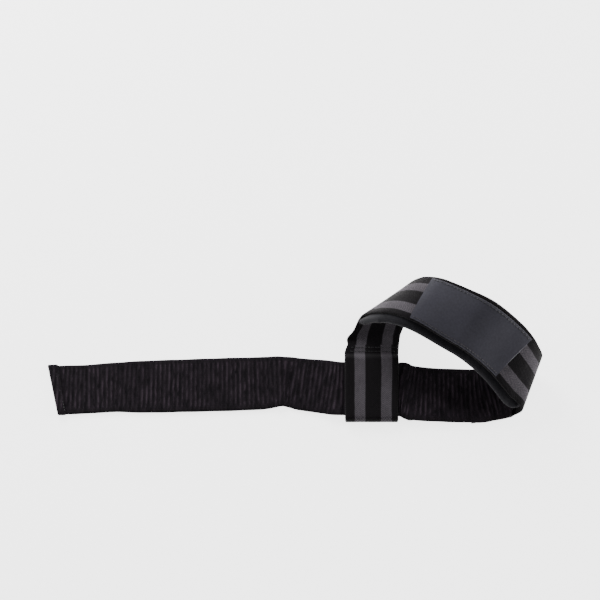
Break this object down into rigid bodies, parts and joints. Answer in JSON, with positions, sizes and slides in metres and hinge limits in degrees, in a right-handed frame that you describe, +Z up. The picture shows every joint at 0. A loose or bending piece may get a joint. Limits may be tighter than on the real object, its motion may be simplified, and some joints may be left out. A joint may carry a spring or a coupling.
{
  "type": "weightlifting strap",
  "caption": "Padded webbing lifting strap lying flat: a ribbed tail runs through the sewn eye of its striped band, whose arch opens for the wrist",
  "frame": {"origin": "middle of the footprint on the surface that the strap lies on", "axes": "+X from the tail's free end towards the wrist loop, +Y away from the viewer, +Z up"},
  "size_m": [0.346, 0.0978, 0.0543],
  "materials": {
    "ribbed_webbing": "ribbed black cotton webbing",
    "striped_webbing": "woven black webbing with two grey stripes",
    "padding": "black knit over foam",
    "patch": "smooth slate coated cloth, bare"
  },
  "bodies": {
    "root": {"tail_strap": "ribbed_webbing", "wrist_band": "striped_webbing", "wrist_pad": "padding", "label_patch": "patch"}
  },
  "joints": []
}
